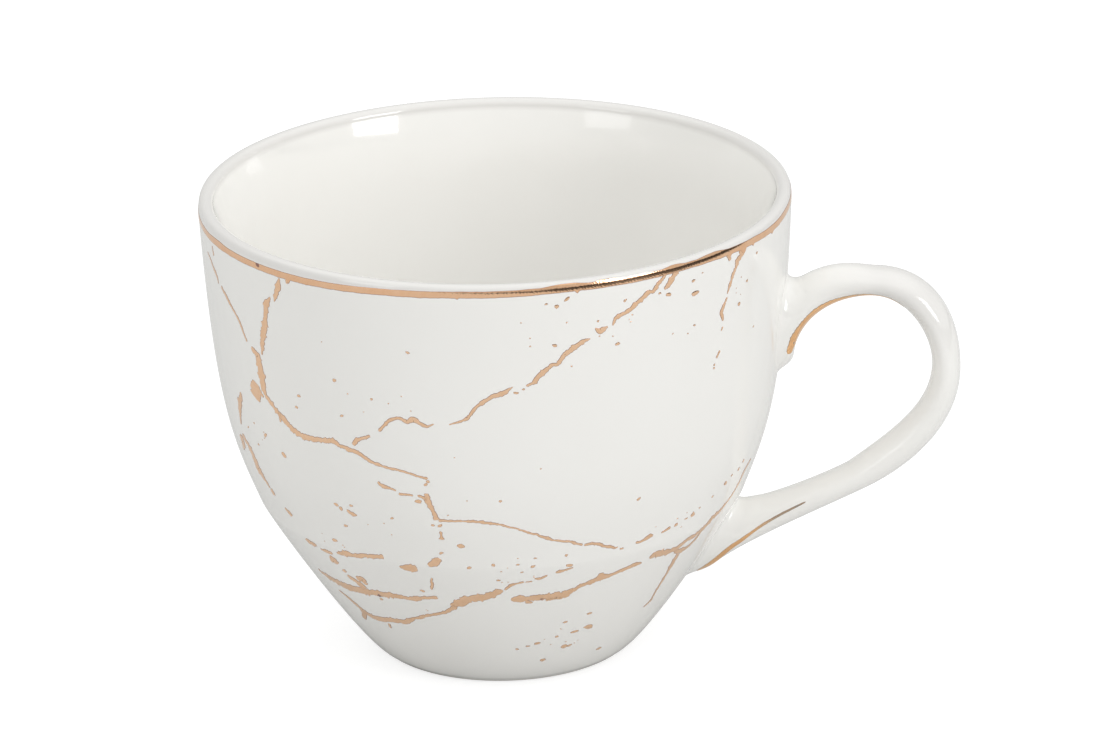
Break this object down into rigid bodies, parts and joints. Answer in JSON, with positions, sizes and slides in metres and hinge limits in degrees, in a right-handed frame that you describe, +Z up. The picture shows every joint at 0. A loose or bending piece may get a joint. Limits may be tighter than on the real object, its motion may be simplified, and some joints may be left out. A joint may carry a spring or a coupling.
{
  "type": "teacup",
  "caption": "Round white porcelain teacup with an ear-shaped handle, a gold line under the lip and gold marble veins.",
  "frame": {"origin": "centre of the foot ring, on the plane that the cup stands on", "axes": "+Z up along the bowl's axis, +X towards the handle, +Y to the left of the handle seen from behind it"},
  "size_m": [0.1132, 0.0882, 0.0715],
  "materials": {
    "porcelain": "smooth high-gloss clear glaze on warm white porcelain, bare matt body on the foot ring only",
    "porcelain_handle": "the same warm white porcelain and gloss glaze, on the cast handle",
    "porcelain_slip": "luting slip of the same clay under the same gloss glaze",
    "gold_band": "burnished rose gold band, fired over the glaze",
    "gold_transfer": "rose gold transfer, satin, with a thin purple-brown edge where the film is thinnest",
    "gold_line": "brush-drawn gold line, fired over the glaze"
  },
  "bodies": {
    "root": {"bowl": "porcelain", "handle": "porcelain_handle", "upper_slip_joint": "porcelain_slip", "lower_slip_joint": "porcelain_slip", "rim_gold_band": "gold_band", "left_gold_veins": "gold_transfer", "front_gold_veins": "gold_transfer", "lower_gold_veins": "gold_transfer", "rim_gold_veins": "gold_transfer", "right_gold_veins": "gold_transfer", "gold_specks": "gold_transfer", "back_gold_veins": "gold_transfer", "back_gold_specks": "gold_transfer", "upper_handle_gilding": "gold_line", "lower_handle_gilding": "gold_line"}
  },
  "joints": []
}
